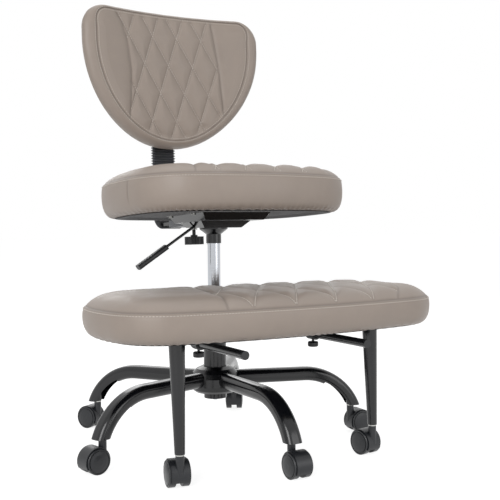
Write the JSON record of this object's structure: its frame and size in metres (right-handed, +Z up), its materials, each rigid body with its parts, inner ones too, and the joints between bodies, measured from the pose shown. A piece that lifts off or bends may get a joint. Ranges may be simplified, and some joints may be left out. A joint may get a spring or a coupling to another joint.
{
  "type": "kneeling chair",
  "caption": "Castored kneeling chair with a height-adjustable swivel seat, a D-shaped backrest and a wide sliding cushion for knees or feet.",
  "frame": {"origin": "on the floor, on the axis of the gas column", "axes": "+Z up the column; the chair faces -Y; +X is to the left of a person sitting in it"},
  "size_m": [0.7124, 0.6955, 0.9855],
  "materials": {
    "black_enamel": "satin black powder coat",
    "grey_enamel": "grey powder coat",
    "chrome": "polished hard chrome",
    "steel": "zinc plated",
    "upholstery": "taupe coated leatherette over foam",
    "board": "plain plywood",
    "dust_fabric": "black non-woven",
    "black_plastic": "moulded",
    "sleeve_rubber": "ribbed, matt",
    "caster_plastic": "moulded, fine texture"
  },
  "bodies": {
    "base": {"star_hub": "black_enamel", "star_arms": "black_enamel", "arm_sockets": "black_enamel", "base_caster_stems": "steel", "column_tube": "black_enamel", "column_guide": "black_plastic", "thrust_bearing": "steel", "column_collar": "black_enamel", "kneeler_crossbar": "black_enamel", "guide_rods": "black_enamel", "rod_end_caps": "black_plastic"},
    "gas_rod": {"piston_rod": "steel", "rod_clip": "steel"},
    "seat": {"gas_cylinder": "chrome", "taper_hub": "black_enamel", "lower_pan": "black_enamel", "seat_plate": "black_enamel", "seat_board": "board", "seat_cushion": "upholstery", "seat_dust_cover": "dust_fabric", "seat_fasteners": "steel", "bar_bracket": "grey_enamel", "bar_pad": "black_plastic"},
    "valve": {"valve_button": "steel"},
    "lever": {"lift_lever": "black_enamel", "lever_paddle": "black_plastic"},
    "depth_clamp": {"depth_knob": "black_plastic"},
    "bar": {"back_bar": "black_enamel", "bar_sleeve_upper": "sleeve_rubber", "bar_sleeve_lower": "sleeve_rubber"},
    "backrest": {"back_cushion": "upholstery", "back_board": "board", "back_rear_panel": "upholstery", "back_housing": "black_enamel", "back_screws": "steel"},
    "height_clamp": {"height_knob": "black_plastic"},
    "kneeler": {"knee_cushion": "upholstery", "knee_board": "board", "knee_dust_cover": "dust_fabric", "leg_plates": "black_enamel", "leg_tubes": "black_enamel", "leg_screws": "steel", "rod_guide_blocks": "black_plastic", "leg_caster_stems": "steel"},
    "lock_left": {"lock_knob_left": "black_plastic"},
    "lock_right": {"lock_knob_right": "black_plastic"},
    "caster_base_1": {"caster_hood_base_1": "caster_plastic"},
    "wheels_base_1": {"caster_wheels_base_1": "caster_plastic"},
    "caster_base_2": {"caster_hood_base_2": "caster_plastic"},
    "wheels_base_2": {"caster_wheels_base_2": "caster_plastic"},
    "caster_base_3": {"caster_hood_base_3": "caster_plastic"},
    "wheels_base_3": {"caster_wheels_base_3": "caster_plastic"},
    "caster_base_4": {"caster_hood_base_4": "caster_plastic"},
    "wheels_base_4": {"caster_wheels_base_4": "caster_plastic"},
    "caster_base_5": {"caster_hood_base_5": "caster_plastic"},
    "wheels_base_5": {"caster_wheels_base_5": "caster_plastic"},
    "caster_leg_left": {"caster_hood_leg_left": "caster_plastic"},
    "wheels_leg_left": {"caster_wheels_leg_left": "caster_plastic"},
    "caster_leg_right": {"caster_hood_leg_right": "caster_plastic"},
    "wheels_leg_right": {"caster_wheels_leg_right": "caster_plastic"}
  },
  "joints": [
    {"name": "seat_swivel", "type": "hinge", "parent": "base", "child": "gas_rod", "pos_m": [0, 0, 0.1], "axis": [0, 0, 1], "continuous": true},
    {"name": "seat_lift", "type": "slide", "parent": "gas_rod", "child": "seat", "axis": [0, 0, 1], "range_m": [-0.025, 0.095]},
    {"name": "lever_tip", "type": "hinge", "parent": "seat", "child": "lever", "pos_m": [-0.04, 0, 0.478], "axis": [0, 1, 0], "range_deg": [0, 8], "stiffness_Nm_per_rad": 2},
    {"name": "valve_press", "type": "slide", "parent": "seat", "child": "valve", "axis": [0, 0, -1], "range_m": [0, 0.006]},
    {"name": "depth_knob_turn", "type": "hinge", "parent": "seat", "child": "depth_clamp", "pos_m": [0, 0.09868, 0.44966], "axis": [0, 0.0436, 0.999], "range_deg": [0, 360]},
    {"name": "back_depth", "type": "slide", "parent": "seat", "child": "bar", "axis": [0, 0.999, -0.0436], "range_m": [0, 0.028]},
    {"name": "back_height", "type": "slide", "parent": "bar", "child": "backrest", "axis": [0, 0.0436, 0.999], "range_m": [-0.03, 0], "deforming": ["bar_sleeve_upper"]},
    {"name": "height_knob_turn", "type": "hinge", "parent": "backrest", "child": "height_clamp", "pos_m": [0, 0.28794, 0.73568], "axis": [0, 0.999, -0.0436], "range_deg": [0, 360]},
    {"name": "kneeler_slide", "type": "slide", "parent": "base", "child": "kneeler", "axis": [0, -1, 0], "range_m": [0, 0.12]},
    {"name": "lock_left_turn", "type": "hinge", "parent": "kneeler", "child": "lock_left", "pos_m": [-0.133, -0.19, 0.226], "axis": [0, 0, 1], "range_deg": [0, 360]},
    {"name": "lock_right_turn", "type": "hinge", "parent": "kneeler", "child": "lock_right", "pos_m": [0.133, -0.19, 0.226], "axis": [0, 0, 1], "range_deg": [0, 360]},
    {"name": "caster_swivel_base_1", "type": "hinge", "parent": "base", "child": "caster_base_1", "pos_m": [0, -0.312, 0.05], "axis": [0, 0, 1], "continuous": true},
    {"name": "caster_roll_base_1", "type": "hinge", "parent": "caster_base_1", "child": "wheels_base_1", "pos_m": [0, -0.332, 0.025], "axis": [1, 0, 0], "continuous": true},
    {"name": "caster_swivel_base_2", "type": "hinge", "parent": "base", "child": "caster_base_2", "pos_m": [0.29673, -0.09641, 0.05], "axis": [0, 0, 1], "continuous": true},
    {"name": "caster_roll_base_2", "type": "hinge", "parent": "caster_base_2", "child": "wheels_base_2", "pos_m": [0.31668, -0.09781, 0.025], "axis": [0.0698, 0.9976, 0], "continuous": true},
    {"name": "caster_swivel_base_3", "type": "hinge", "parent": "base", "child": "caster_base_3", "pos_m": [0.18339, 0.25241, 0.05], "axis": [0, 0, 1], "continuous": true},
    {"name": "caster_roll_base_3", "type": "hinge", "parent": "caster_base_3", "child": "wheels_base_3", "pos_m": [0.19339, 0.26973, 0.025], "axis": [-0.866, 0.5, 0], "continuous": true},
    {"name": "caster_swivel_base_4", "type": "hinge", "parent": "base", "child": "caster_base_4", "pos_m": [-0.18339, 0.25241, 0.05], "axis": [0, 0, 1], "continuous": true},
    {"name": "caster_roll_base_4", "type": "hinge", "parent": "caster_base_4", "child": "wheels_base_4", "pos_m": [-0.19428, 0.26919, 0.025], "axis": [-0.8387, -0.5446, 0], "continuous": true},
    {"name": "caster_swivel_base_5", "type": "hinge", "parent": "base", "child": "caster_base_5", "pos_m": [-0.29673, -0.09641, 0.05], "axis": [0, 0, 1], "continuous": true},
    {"name": "caster_roll_base_5", "type": "hinge", "parent": "caster_base_5", "child": "wheels_base_5", "pos_m": [-0.31622, -0.10091, 0.025], "axis": [0.225, -0.9744, 0], "continuous": true},
    {"name": "caster_swivel_leg_left", "type": "hinge", "parent": "kneeler", "child": "caster_leg_left", "pos_m": [-0.217, -0.28, 0.05], "axis": [0, 0, 1], "continuous": true},
    {"name": "caster_roll_leg_left", "type": "hinge", "parent": "caster_leg_left", "child": "wheels_leg_left", "pos_m": [-0.21353, -0.2603, 0.025], "axis": [-0.9848, 0.1736, 0], "continuous": true},
    {"name": "caster_swivel_leg_right", "type": "hinge", "parent": "kneeler", "child": "caster_leg_right", "pos_m": [0.217, -0.28, 0.05], "axis": [0, 0, 1], "continuous": true},
    {"name": "caster_roll_leg_right", "type": "hinge", "parent": "caster_leg_right", "child": "wheels_leg_right", "pos_m": [0.21456, -0.26015, 0.025], "axis": [-0.9925, -0.1219, 0], "continuous": true}
  ],
  "couplings": [
    {"joint": "valve_press", "follows": "lever_tip", "m_per_rad": 0.04297}
  ]
}
